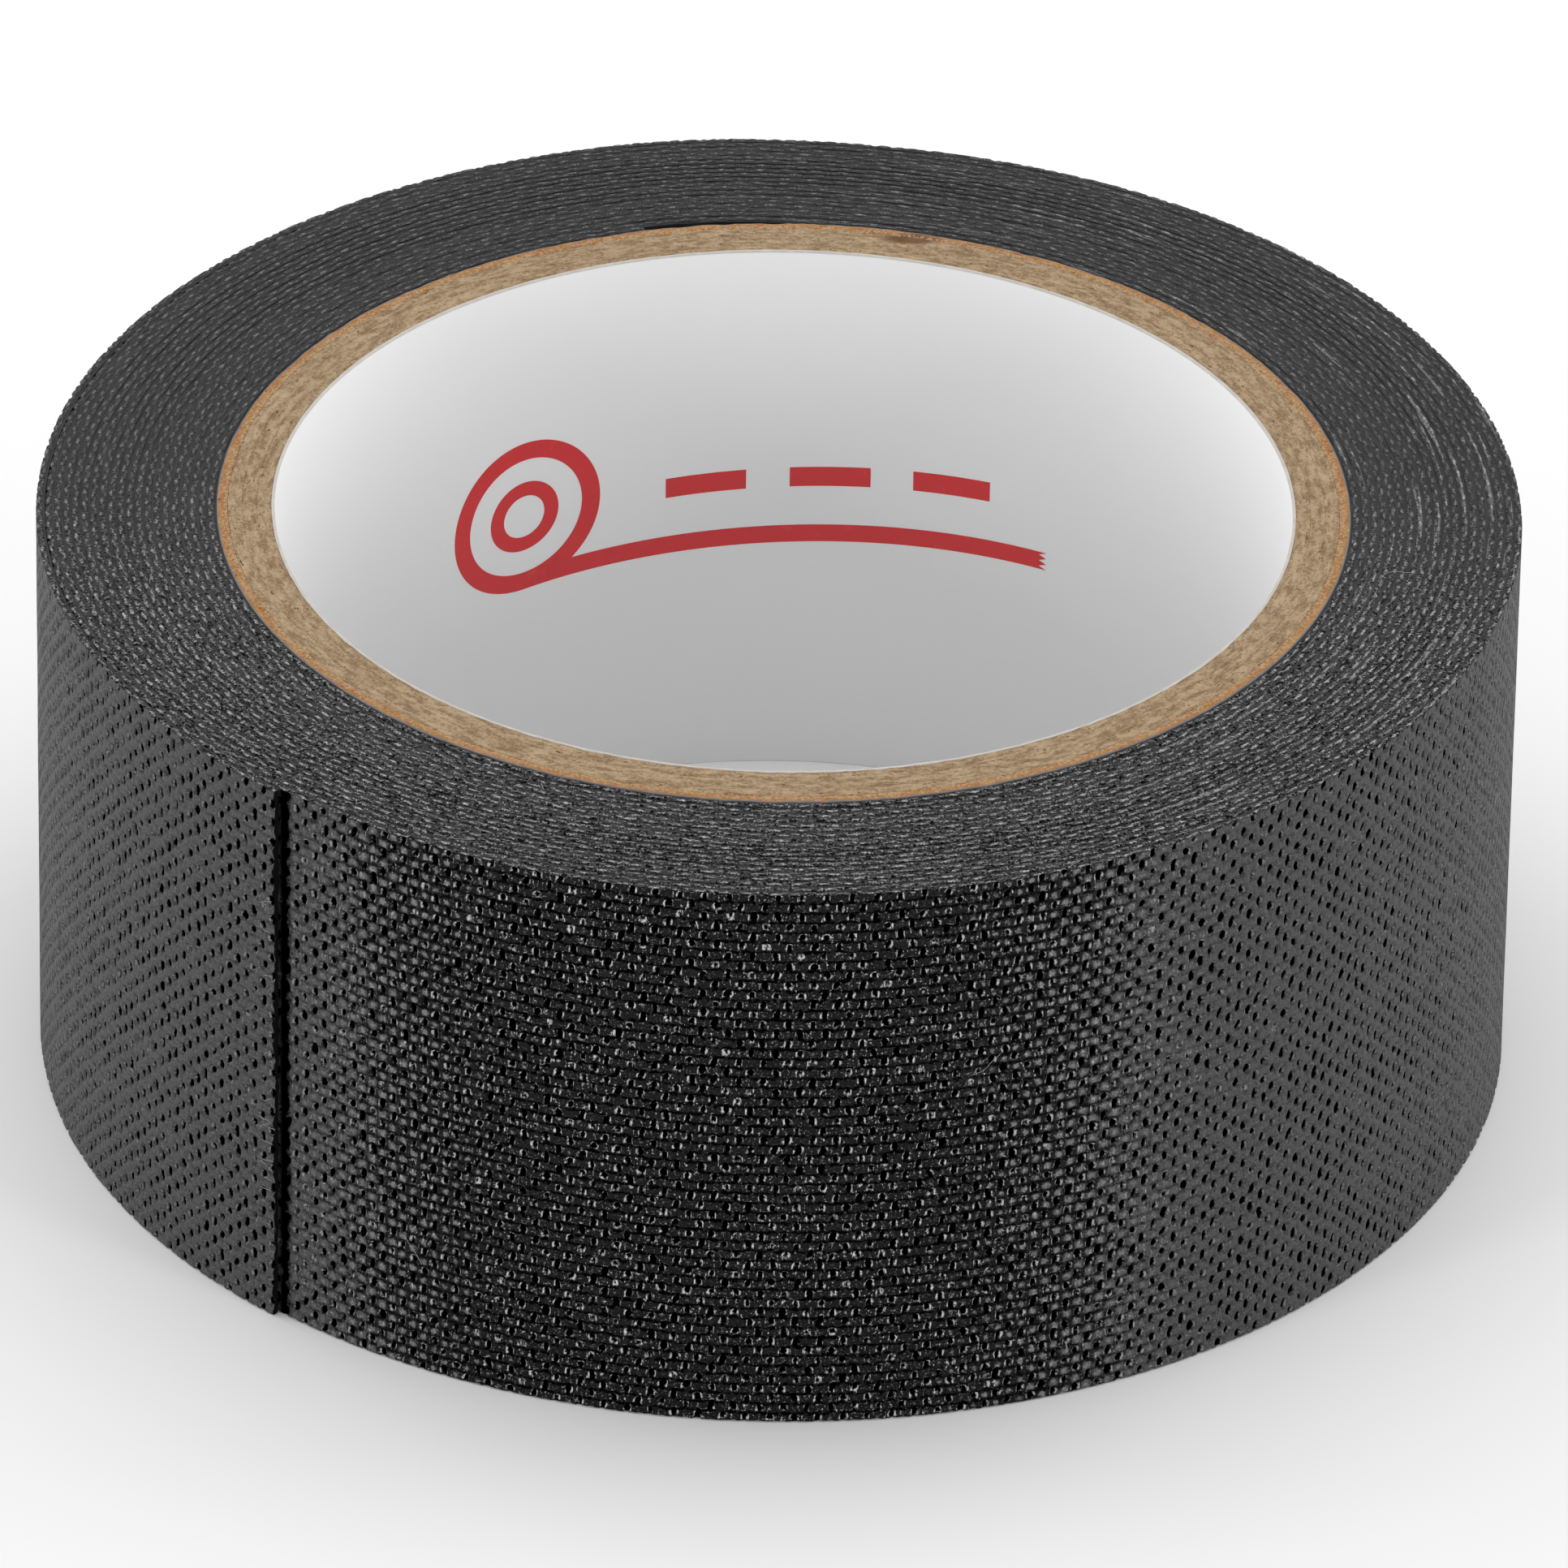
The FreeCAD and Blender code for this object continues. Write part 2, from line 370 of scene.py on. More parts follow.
@dataclass(frozen=True)
class SlitEdge:
    """The slit edge of the strip: dark cut yarns, with the pale ends of every second pick, painted brighter
    and with painted glints at the front, and black painted shade between the ends, strongest at the front.
    """

    dark: Colour = (0.014, 0.014, 0.0155)
    yarn: Colour = (0.26, 0.26, 0.265)
    # Painted highlight: the yarn ends are painted this much brighter at the front, where the lights glint on
    # them.
    painted_lit_yarn: Colour = (0.62, 0.62, 0.63)
    scuff: Colour = (0.55, 0.55, 0.56)
    # Colour of the painted glints at the front.
    painted_sparkle: Colour = (0.8, 0.8, 0.81)
    haze: Colour = (0.2, 0.2, 0.21)
    scuffed_right: Pair = (-4 * MM, 18 * MM)
    lit_front: Pair = (4 * MM, -10 * MM)
    bump: float = 0.14 * MM

    def material(self) -> Material:
        """Makes the material.

        Returns:
            The material.
        """
        tree = Tree("slit edge of the cloth")
        picks, depth, _ = tree.strip()
        x, y, _ = tree.split(tree.place())
        right, front = x.step(*self.scuffed_right), y.step(*self.lit_front)
        fibre = tree.grain(1.0, 3.0, 0.7, tree.join(picks * 1.1, depth * 2.2))
        speckle = tree.grain(15000.0, 3.0, 0.75)
        drift = tree.grain(1.0, at=tree.join(picks * 0.45, depth * 0.5)) - 0.5
        streak = tree.grain(1.0, 2.0, 0.6, tree.join(picks * 0.08, depth * 1.1))
        # The cut ends stand high in the thickness at one pick and low at the next.
        wave = ((picks + drift * 1.1) * math.pi).cosine()
        level = depth + drift * 0.5
        uneven = (speckle - 0.5) * 2.6
        dot = (1 - ((level - 0.64) / 0.33) ** 2.0 - (1 - wave) * 0.6 + uneven).step(0.0, 1.0)
        under = (1 - ((level - 0.3) / 0.28) ** 2.0 - (1 + wave) * 0.6 + uneven).step(0.1, 1.1) * 0.5
        strength = (fibre * 0.5 + speckle * 0.5).step(0.42, 0.60) * 0.95 + 0.08
        scuff_and_sheen = (streak + right * 0.02).step(0.615, 0.665) * (0.15 + right * 0.85) * speckle.step(0.36, 0.52)
        haze = tree.grain(260.0) * 0.16 * speckle.step(0.4, 0.6)
        # Painted highlight: brighter yarn ends and painted sparkles towards the front.
        colour = tree.mix(dot.most(under) * strength, self.dark, tree.mix(front, self.yarn, self.painted_lit_yarn))
        colour = tree.mix(speckle.step(0.58, 0.64) * front * 0.8, colour, self.painted_sparkle)
        colour = tree.mix(scuff_and_sheen * (0.35 + dot * 0.65), colour, self.scuff)
        colour = tree.mix(haze, colour, self.haze)
        # Painted shade: black specks between the yarn ends, strongest at the front.
        torn = tree.grain(8200.0, 2.0, 0.6)
        painted_shade = torn.step(0.50, 0.40) * (0.25 + front * 0.65) * (1 - scuff_and_sheen * 0.7) * (1 - dot * 0.8)
        normal = tree.bump(speckle * 0.8 + fibre * 0.5 + dot * 0.4, self.bump)
        return tree.finish(painted_shade, Base_Color=colour, Roughness=0.62, Normal=normal, Specular_IOR_Level=0.35)


@dataclass(frozen=True)
class CutPaper:
    """The sawn end of a paper ply: fibres that run round the core, with dark and red-brown flecks."""

    name: str
    pale: Colour
    deep: Colour
    fleck: Colour
    spot: Pair
    rim: Colour | None = None
    rim_radius: float = 0.0
    bare: tuple[Colour, Colour] = ((0.43, 0.315, 0.195), (0.22, 0.14, 0.07))
    soot: Colour = (0.06, 0.045, 0.035)
    spilt: Colour = (0.10, 0.035, 0.012)
    spot_size: Pair = (1.0 * MM, 0.35 * MM)
    fleck_edge: float = 0.66
    bump: float = 0.08 * MM

    def material(self) -> Material:
        """Makes the material.

        Returns:
            The material.
        """
        tree = Tree(self.name)
        x, y, z = tree.split(tree.place())
        radius = (x * x + y * y).math("SQRT")

        def around(turns: float, across: float, down: float) -> Socket:
            """A space with no seam in which fibres run round the axis."""
            return tree.join(x / radius * turns, y / radius * turns, radius * across + z * down)

        fibre = tree.grain(1.0, 4.0, 0.65, around(26.0, 5200.0, 900.0))
        fleck_space = around(60.0, 9000.0, 3000.0)
        fleck = tree.grain(1.0, at=fleck_space)
        dark = tree.grain(1.7, 1.0, at=fleck_space)
        stain = tree.grain(1.0, at=around(5.0, 420.0, 200.0))
        speck = tree.grain(9000.0, 3.0, 0.75)
        colour = tree.mix((fibre * 0.6 + speck * 0.4).step(0.38, 0.62), self.pale, self.deep)
        colour = tree.mix(stain.step(0.5, 0.75) * 0.2, colour, self.deep)
        colour = tree.mix(fleck.step(self.fleck_edge, self.fleck_edge + 0.08), colour, self.fleck)
        colour = tree.mix(dark.step(0.68, 0.76) * 0.7, colour, self.soot)
        aside, beyond = (x - self.spot[0]) / self.spot_size[0], (y - self.spot[1]) / self.spot_size[1]
        away = aside**2.0 + beyond**2.0
        spot = (away + (fibre - 0.5) * 1.5).step(1.3, 0.3) * z.step(18.5 * MM, 18.8 * MM)
        colour = tree.mix(spot * 0.8, colour, self.spilt)
        if self.rim:
            # The ply's inner part has the board's colours, and its outer rim the grey fuzz of the tape.
            edge = self.rim_radius
            inside = (radius + (speck - 0.5) * 1.5 * MM).step(edge - 0.12 * MM, edge - 0.34 * MM)
            colour = tree.mix(inside * 0.85, colour, tree.mix(speck.step(0.42, 0.58), *self.bare))
            fuzz = (radius + (fibre - 0.5) * 0.12 * MM).step(edge - 0.07 * MM, edge)
            colour = tree.mix(fuzz * 0.8, colour, self.rim)
        normal = tree.bump(fibre * 0.5 + speck * 0.5, self.bump)
        return tree.finish(Base_Color=colour, Roughness=0.9, Normal=normal, Specular_IOR_Level=0.2)


@dataclass(frozen=True)
class GlossyPaper:
    """The coated white paper that lines the bore, with a darker sawn edge."""

    white: Colour = (0.79, 0.79, 0.79)
    cloudy: Colour = (0.74, 0.74, 0.745)
    sawn: Colour = (0.42, 0.38, 0.33)
    sawn_from: Pair = (18.90 * MM, 18.97 * MM)
    bump: float = 0.02 * MM

    def material(self) -> Material:
        """Makes the material.

        Returns:
            The material.
        """
        tree = Tree("glossy white liner paper")
        cloud, grain = tree.grain(120.0, 3.0), tree.grain(2600.0)
        _, _, z = tree.split(tree.place())
        colour = tree.mix(cloud * 0.35, self.white, self.cloudy)
        colour = tree.mix(z.step(*self.sawn_from) * (0.5 + grain * 0.5), colour, self.sawn)
        roughness, normal = 0.38 + grain * 0.08, tree.bump(cloud * 0.6 + grain * 0.04, self.bump)
        return tree.finish(Base_Color=colour, Roughness=roughness, Normal=normal, Specular_IOR_Level=0.3)


@dataclass(frozen=True)
class PlainFinish:
    """A finish of one colour that turns to a second one here and there, as one noise says."""

    name: str
    colour: Colour
    second: Colour
    scale: float
    detail: float
    rough: float = 0.5
    second_from: Pair | None = None
    share: float = 1.0
    roughness: float = 0.5
    dulling: float = 0.0
    bump: float = 0.0
    specular: float = 0.5

    def material(self) -> Material:
        """Makes the material.

        Returns:
            The material.
        """
        tree = Tree(self.name)
        grain = tree.grain(self.scale, self.detail, self.rough)
        share = grain.step(*self.second_from) * self.share if self.second_from else grain
        colour = tree.mix(share, self.colour, self.second)
        roughness = grain * self.dulling + self.roughness if self.dulling else self.roughness
        normal = {"Normal": tree.bump(grain, self.bump)} if self.bump else {}
        return tree.finish(Base_Color=colour, Roughness=roughness, Specular_IOR_Level=self.specular, **normal)


CUT_END = PlainFinish(
    "cut free end", (0.003, 0.003, 0.003), (0.02, 0.02, 0.02), 14000.0, 3.0, 0.7,
    second_from=(0.6, 0.9), share=0.3, roughness=0.9, bump=0.01 * MM, specular=0.1,
)
RUBBER = PlainFinish(
    "black adhesive", (0.014, 0.014, 0.015), (0.03, 0.03, 0.031), 900.0, 4.0, 0.6,
    second_from=(0.4, 0.8), roughness=0.35, dulling=0.3, bump=0.03 * MM, specular=0.35,
)
RED_INK = PlainFinish(
    "red printing ink", (0.60, 0.018, 0.022), (0.72, 0.09, 0.08), 1800.0, 3.0, 0.6,
    second_from=(0.55, 0.85), share=0.4, roughness=0.25, dulling=0.1,
)
PALE_LINT = PlainFinish("pale lint", (0.16, 0.16, 0.165), (0.45, 0.45, 0.46), 3000.0, 1.0, roughness=0.6)
WHITE_TABLE = PlainFinish(
    "white table", (0.9, 0.9, 0.9), (0.88, 0.88, 0.88), 3.0, 1.0, roughness=0.8, specular=0.2,
)


# ---- Bench: selecting, cutting and finishing meshes


def clear_bench() -> None:
    """Leaves edit mode and deselects every object."""
    if bpy.context.object and bpy.context.object.mode != "OBJECT":
        bpy.ops.object.mode_set(mode="OBJECT")
    bpy.ops.object.select_all(action="DESELECT")


def take_up(*pieces: Piece) -> None:
    """Selects these pieces and no others, and makes the first one active.

    Args:
        pieces: the objects.
    """
    clear_bench()
    bpy.context.view_layer.objects.active = pieces[0]
    for piece in pieces:
        piece.select_set(True)


@contextmanager
def editing(piece: Piece, mode: str = "FACE") -> Iterator[None]:
    """Edit mode on one piece, with nothing selected in it.

    Args:
        piece: the mesh object.
        mode: VERT, EDGE or FACE, for what is selected.

    Yields:
        Nothing.
    """
    take_up(piece)
    bpy.ops.object.mode_set(mode="EDIT")
    bpy.ops.mesh.select_mode(type=mode)
    bpy.ops.mesh.select_all(action="DESELECT")
    yield
    bpy.ops.object.mode_set(mode="OBJECT")


def pick_edges(piece: Piece, test: Callable[[bmesh.types.BMEdge], bool]) -> None:
    """Selects some edges of a piece in edit mode, and nothing else.

    Args:
        piece: the mesh object.
        test: says whether an edge is selected.
    """
    bpy.ops.mesh.select_all(action="DESELECT")
    mesh = bmesh.from_edit_mesh(piece.data)
    for edge in mesh.edges:
        if test(edge):
            edge.select_set(True)
    bmesh.update_edit_mesh(piece.data)


def near(vertices: object, axis: int, place: float) -> bool:
    """True if all these vertices have that coordinate."""
    return all(abs(v.co[axis] - place) < TOUCHING for v in vertices)


def apply_modifier(piece: Piece, kind: str, **settings: object) -> None:
    """Adds a modifier and applies it.

    Args:
        piece: the mesh object.
        kind: Blender's type name.
        settings: the modifier's attributes.
    """
    take_up(piece)
    modifier = piece.modifiers.new(kind.title(), kind)
    for name, value in settings.items():
        setattr(modifier, name, value)
    bpy.ops.object.modifier_apply(modifier=modifier.name)


def repeat(piece: Piece, count: int, step: tuple) -> None:
    """Repeats a piece in a row, each copy joined to the one before.

    Args:
        piece: the mesh object.
        count: of the copies, with the first.
        step: from one copy to the next.
    """
    apply_modifier(
        piece, "ARRAY", count=count, use_relative_offset=False, use_constant_offset=True,
        constant_offset_displace=step, use_merge_vertices=True, merge_threshold=MERGE_DISTANCE,
    )


def points_of(piece: Piece) -> np.ndarray:
    """Reads the vertex places of a piece.

    Args:
        piece: the mesh object.

    Returns:
        One row of x, y and z for each vertex.
    """
    flat = np.empty(len(piece.data.vertices) * 3, np.float32)
    piece.data.vertices.foreach_get("co", flat)
    return flat.reshape(-1, 3).astype(float)


def move_points(piece: Piece, points: np.ndarray) -> None:
    """Puts the vertices of a piece at these places."""
    piece.data.vertices.foreach_set("co", points.astype(np.float32).ravel())
    piece.data.update()


def store(piece: Piece, name: str, values: np.ndarray) -> None:
    """Stores a number or a vector for each vertex.

    Args:
        piece: the mesh object.
        name: of the attribute.
        values: one number or one row of three for each vertex.
    """
    vector = values.ndim == 2
    layer = piece.data.attributes.new(name, "FLOAT_VECTOR" if vector else "FLOAT", "POINT")
    layer.data.foreach_set("vector" if vector else "value", values.astype(np.float32).ravel())


def outwards(piece: Piece) -> None:
    """Turns every face of a closed piece outwards.

    Args:
        piece: the mesh object.
    """
    with editing(piece):
        bpy.ops.mesh.select_all(action="SELECT")
        bpy.ops.mesh.normals_make_consistent(inside=False)


def smooth(piece: Piece, degrees: float) -> None:
    """Shades a piece smooth, apart from edges sharper than that."""
    take_up(piece)
    bpy.ops.object.shade_smooth_by_angle(angle=math.radians(degrees))


def join(pieces: list[Piece], name: str) -> Piece:
    """Joins pieces into one.

    Args:
        pieces: the mesh objects.
        name: of the whole.

    Returns:
        The whole, at the origin.
    """
    take_up(*pieces)
    bpy.ops.object.join()
    whole = bpy.context.object
    whole.name = whole.data.name = name
    take_up(whole)
    bpy.ops.object.transform_apply(location=True, rotation=True, scale=True)
    return whole


def twin(piece: Piece, name: str) -> Piece:
    """Copies a piece, with a mesh of its own.

    Args:
        piece: the mesh object.
        name: of the copy.

    Returns:
        The copy.
    """
    copy = piece.copy()
    copy.data = piece.data.copy()
    copy.name = copy.data.name = name
    bpy.context.scene.collection.objects.link(copy)
    return copy


def scrap(piece: Piece) -> None:
    """Throws a pattern piece away.

    Args:
        piece: the mesh object.
    """
    mesh = piece.data
    bpy.data.objects.remove(piece)
    bpy.data.meshes.remove(mesh)


# ---- The wound strip


@dataclass(frozen=True)
class Winding:
    """Path of the wound strip: in every turn a level arc and two climbing arcs, each tangent to the next."""

    core_radius: float = 17.6 * MM
    layer: float = 0.28 * MM
    start: float = 105.0
    climb: float = 30.0
    tail_angle: float = 133.0
    whole_turns: int = 19
    link_angle: float = 12.0
    links: int = 8
    picks_per_link: int = 13

    @property
    def tail_root(self) -> float:
        """Angle at which the tail begins."""
        return self.tail_angle + 360 * self.whole_turns

    @property
    def tail_end(self) -> float:
        """Angle at which the strip ends."""
        return self.tail_root + self.links * self.link_angle

    @property
    def outer_start(self) -> float:
        """Angle at which the outermost whole turn begins."""
        return self.tail_root - 360

    @property
    def picks_per_degree(self) -> float:
        """Number of picks in a degree of the path."""
        return self.picks_per_link / self.link_angle

    def picks_at(self, degrees: np.ndarray) -> np.ndarray:
        """Counts the picks: by angle from the outermost turn on, and by true length on the inner turns.

        Args:
            degrees: angle along the path.

        Returns:
            Number of picks between the tail's angle in the first turn and each angle.
        """
        outer = (np.asarray(degrees) - self.tail_angle) * self.picks_per_degree
        turns = (np.minimum(degrees, self.outer_start) - self.outer_start) / 360
        middle = self.core_radius + self.layer * ((self.outer_start - self.start) / 360 + turns / 2)
        inner_picks = (self.outer_start - self.tail_angle) * self.picks_per_degree
        return np.where(turns < 0, inner_picks + math.tau * middle * turns / PICK_PITCH, outer)

    def wrap(self, degrees: np.ndarray, distance: np.ndarray, height: np.ndarray) -> np.ndarray:
        """Places points of the strip on the roll.

        Args:
            degrees: angle along the path.
            distance: from the strip's inner face outwards.
            height: above the table.

        Returns:
            One row of x, y and z for each point.
        """
        turn = np.floor((degrees - self.start) / 360)
        local = degrees - self.start - 360 * turn
        # Off the axis by this much lies the centre of each climbing arc.
        shift = self.layer / (2 * (1 - math.cos(math.radians(self.climb / 2))))
        radius = self.core_radius + self.layer * turn
        low = (local >= 360 - self.climb) & (local < 360 - self.climb / 2)
        high = local >= 360 - self.climb / 2
        first, last = math.radians(self.start - self.climb), math.radians(self.start)
        centre_x = np.where(low, -shift * math.cos(first), np.where(high, shift * math.cos(last), 0))
        centre_y = np.where(low, -shift * math.sin(first), np.where(high, shift * math.sin(last), 0))
        radius = np.where(low, radius + shift, np.where(high, radius + self.layer - shift, radius)) + distance
        turned = np.radians(degrees)
        x, y = centre_x + radius * np.cos(turned), centre_y + radius * np.sin(turned)
        return np.column_stack((x, y, height))


@dataclass
class Weave:
    """Plain weave under a coat: every second crossing of a row shows as an upright pit."""

    ends: int = 55
    pit_depth: float = 0.14 * MM
    swell: float = 0.005 * MM
    rows: int = 512
    columns: int = 64

    def __post_init__(self) -> None:
        """Draws how each pit differs from the next."""
        self.end_pitch = TAPE_WIDTH / self.ends
        draw = np.random.default_rng(SEED)
        shape = (self.rows, self.columns)
        self.shift_along = draw.normal(0.0, 0.07, shape)
        self.shift_across = draw.normal(0.0, 0.06, shape)
        self.half_width = draw.normal(0.36, 0.04, shape).clip(0.28, 0.48)
        self.half_height = draw.normal(0.66, 0.10, shape).clip(0.42, 0.88)
        self.depth = draw.normal(0.95, 0.17, shape).clip(0.4, 1.2)
        self.lean = draw.normal(0.06, 0.1, shape)

    def pits(self, picks: np.ndarray, ends: np.ndarray) -> np.ndarray:
        """How far into a pit each point is.

        Args:
            picks: number of picks along the strip.
            ends: number of ends across it.

        Returns:
            0 on the film to about 1 at the bottom of a pit.
        """
        found = np.zeros(len(picks))
        for row in (-1, 0, 1):
            for column in (-1, 0, 1):
                i = np.floor(picks).astype(int) + row
                j = np.floor(ends).astype(int) + column
                at = (i % self.rows, j % self.columns)
                across = ends - j - 0.5 - self.shift_across[at]
                along = picks - i - 0.5 - self.shift_along[at] - self.lean[at] * across
                away = (along / self.half_width[at]) ** 2 + (across / self.half_height[at]) ** 2
                pit = self.depth[at] * np.clip(1 - away, 0, 1)
                found = np.maximum(found, np.where((i + j) % 2 == 0, pit, 0))
        return found

    def unevenness(self, picks: np.ndarray, ends: np.ndarray) -> np.ndarray:
        """Slow waves of the film.

        Args:
            picks: number of picks along the strip.
            ends: number of ends across it.

        Returns:
            About -1 to 1.
        """
        waves = np.sin(picks * 0.31 + 1.7 * np.sin(ends * 0.11)) * 0.4
        waves += np.sin(ends * 0.47 + 2.1 * np.sin(picks * 0.053)) * 0.3
        return waves + np.sin(picks * 0.83 + ends * 0.29) * 0.3


@dataclass
class Backing:
    """The woven backing of the strip: cut flat from one pattern, then laid on its path."""

    winding: Winding
    weave: Weave
    coat: Material
    edge: Material
    cut: Material
    adhesive: float = 0.07 * MM
    thickness: float = 0.21 * MM
    edge_rows: int = 3
    edge_relief: float = 0.035 * MM
    edge_ragged: float = 0.012 * MM
    edge_sunk: float = 0.025 * MM
    sectors: int = 5
    inner_lengths: int = 2
    stations_per_pick: int = 3
    ragged_end: float = 0.45
    # Grid lines round a pit's middle, in picks and in ends.
    columns: tuple = (-0.5, -0.3, -0.12, 0.12, 0.3)
    rows: tuple = (-0.5, -0.25, 0.0, 0.25)

    @property
    def woven_degree(self) -> float:
        """Length of a degree of the path in a flat woven piece."""
        return PICK_PITCH * self.winding.picks_per_degree

    def woven_pattern(self, picks: int) -> Piece:
        """A flat closed length of backing, with grid lines for the pits on its outer face.

        Args:
            picks: its length.

        Returns:
            The piece: x is along it, y across it and z its thickness.
        """
        clear_bench()
        counts = (2 * len(self.columns), 2 * len(self.rows))
        bpy.ops.mesh.primitive_grid_add(x_subdivisions=counts[0], y_subdivisions=counts[1], size=2)
        piece = bpy.context.object
        steps = np.rint((points_of(piece)[:, :2] + 1) / 2 * counts).astype(int)
        along = np.array([*self.columns, *(c + 1 for c in self.columns), 1.5]) + 0.5
        across = np.array([*self.rows, *(r + 1 for r in self.rows), 1.5]) + 0.5
        end_pitch = self.weave.end_pitch
        x, y = along[steps[:, 0]] * PICK_PITCH, across[steps[:, 1]] * end_pitch
        move_points(piece, np.column_stack((x, y, np.full(len(steps), self.thickness))))
        repeat(piece, math.ceil(picks / 2), (2 * PICK_PITCH, 0, 0))
        repeat(piece, math.ceil(self.weave.ends / 2), (0, 2 * end_pitch, 0))
        length = picks * PICK_PITCH
        with editing(piece):
            for stop, normal in (((length, 0, 0), (1, 0, 0)), ((0, TAPE_WIDTH, 0), (0, 1, 0))):
                bpy.ops.mesh.select_all(action="SELECT")
                bpy.ops.mesh.bisect(plane_co=stop, plane_no=normal, clear_outer=True, threshold=TOUCHING)
        self.close(piece, self.edge_rows, TAPE_WIDTH, self.thickness)
        self.cap(piece, length)
        return piece

    def plain_pattern(self, length: float, step: float, width: float, thickness: float, rows: int) -> Piece:
        """A flat closed length without a weave.

        Args:
            length: of the piece.
            step: from one grid line across it to the next.
            width: of the piece.
            thickness: of the piece.
            rows: of faces on its long edges.

        Returns:
            The piece: x is along it, y across it and z its thickness.
        """
        clear_bench()
        bpy.ops.mesh.primitive_plane_add(size=1, location=(0.5, 0.5, 0))
        piece = bpy.context.object
        bpy.ops.object.transform_apply(location=True)
        move_points(piece, points_of(piece) * (step, width, 0) + (0, 0, thickness))
        self.close(piece, rows, width, thickness)
        repeat(piece, round(length / step), (step, 0, 0))
        self.cap(piece, length)
        return piece

    def close(self, piece: Piece, rows: int, width: float, thickness: float) -> None:
        """Gives a flat outer face its two long edges and its inner face.

        Args:
            piece: the flat face.
            rows: of faces on its long edges.
            width: of the face.
            thickness: of the finished piece.
        """

        def on_side(edge: bmesh.types.BMEdge) -> bool:
            """True on the long open edges."""
            return edge.is_boundary and any(near(edge.verts, 1, side) for side in (0.0, width))

        with editing(piece, "EDGE"):
            pick_edges(piece, on_side)
            for _ in range(rows):
                bpy.ops.mesh.extrude_region_move(TRANSFORM_OT_translate={"value": (0, 0, -thickness / rows)})
            pick_edges(piece, lambda e: on_side(e) and near(e.verts, 2, 0.0))
            bpy.ops.mesh.bridge_edge_loops()

    def cap(self, piece: Piece, length: float) -> None:
        """Fills the two open ends of a flat length.

        Args:
            piece: the flat piece.
            length: of the piece.
        """
        with editing(piece, "EDGE"):
            for far in (False, True):
                pick_edges(piece, lambda e: e.is_boundary and (e.verts[0].co.x > length / 2) == far)
                bpy.ops.mesh.edge_face_add()

    def lay(self, pattern: Piece, name: str, first: float, per_degree: float, ragged: float = 0.0) -> Piece:
        """Lays a copy of a flat length on its path, with its relief and its pits, and dresses it.

        Args:
            pattern: the flat length.
            name: of the copy.
            first: angle at which it begins.
            per_degree: length of a degree of the path in the flat length.
            ragged: angle by which parts of its far end fall short.

        Returns:
            The copy.
        """
        piece = twin(pattern, name)
        flat = points_of(piece)
        share = flat[:, 0] / flat[:, 0].max()
        torn = np.sin(flat[:, 1] / MM * 1.3) * 0.25 + np.sin(flat[:, 1] / MM * 7.1 + 1) * 0.2
        torn += np.sin(flat[:, 1] / MM * 17.3) * 0.15
        degrees = first + flat[:, 0] / per_degree - (0.5 + torn) * ragged * share**6
        picks = self.winding.picks_at(degrees)
        depth = np.clip(flat[:, 2] / self.thickness, 0, 1)
        ends = flat[:, 1] / self.weave.end_pitch
        store(piece, STRIP, np.column_stack((picks, depth, ends)))
        distance = self.adhesive + flat[:, 2]
        pits = np.zeros(len(flat))
        if per_degree == self.woven_degree:
            outer = depth > 0.99
            pits[outer] = self.weave.pits(picks[outer], ends[outer])
            sunk = (1 - self.weave.unevenness(picks[outer], ends[outer])) * self.weave.swell
            distance[outer] -= pits[outer] * self.weave.pit_depth + sunk
        store(piece, PIT, pits)
        turn = np.floor((degrees - self.winding.start) / 360)
        height = flat[:, 1] + self.selvedge(flat[:, 1], picks, depth, turn)
        move_points(piece, self.winding.wrap(degrees, distance, height))
        self.dress(piece)
        return piece

    def selvedge(
        self, across: np.ndarray, picks: np.ndarray, depth: np.ndarray, turn: np.ndarray,
    ) -> np.ndarray:
        """Relief of the slit edges: cut picks stand out, and some whole turns lie a little lower than others.

        Args:
            across: place across the strip.
            picks: number of picks along it.
            depth: share of its thickness.
            turn: number of the turn.

        Returns:
            How far each point moves across the strip, which is inwards from both edges.
        """
        wave = np.cos(picks * math.pi)
        high = np.exp(-(((depth - 0.66) / 0.34) ** 2)) * (0.5 + 0.5 * wave)
        low = np.exp(-(((depth - 0.33) / 0.34) ** 2)) * (0.5 - 0.5 * wave)
        ragged = np.sin(picks * 2.3) * np.sin(picks * 0.37 + 1) * self.edge_ragged
        sunk = (0.5 + 0.5 * np.sin(turn * 12.9898 + np.sin(picks * 0.011 + turn))) * self.edge_sunk
        inward = (1 - np.maximum(high, low)) * self.edge_relief + np.abs(ragged) + sunk
        return np.where(across < TOUCHING, inward, np.where(across > TAPE_WIDTH - TOUCHING, -inward, 0.0))

    def dress(self, piece: Piece) -> None:
        """Gives the faces of a laid length their finishes.

        Args:
            piece: the laid length.
        """
        mesh = piece.data
        mesh.materials.clear()
        for finish in (self.coat, self.edge, self.cut):
            mesh.materials.append(finish)
        strip = np.empty(len(mesh.vertices) * 3, np.float32)
        mesh.attributes[STRIP].data.foreach_get("vector", strip)
        ends = strip.reshape(-1, 3)[:, 2]
        rim = (ends < 1e-3) | (ends > self.weave.ends - 1e-3)
        corners = np.empty(len(mesh.loops), np.int32)
        starts, totals = np.empty((2, len(mesh.polygons)), np.int32)
        mesh.loops.foreach_get("vertex_index", corners)
        mesh.polygons.foreach_get("loop_start", starts)
        mesh.polygons.foreach_get("loop_total", totals)
        kinds = np.where(np.logical_and.reduceat(rim[corners], starts), 1, 0)
        # Only the two cut ends have more than four corners.
        kinds[totals > 4] = 2
        mesh.polygons.foreach_set("material_index", kinds.astype(np.int32))
        smooth(piece, 55)

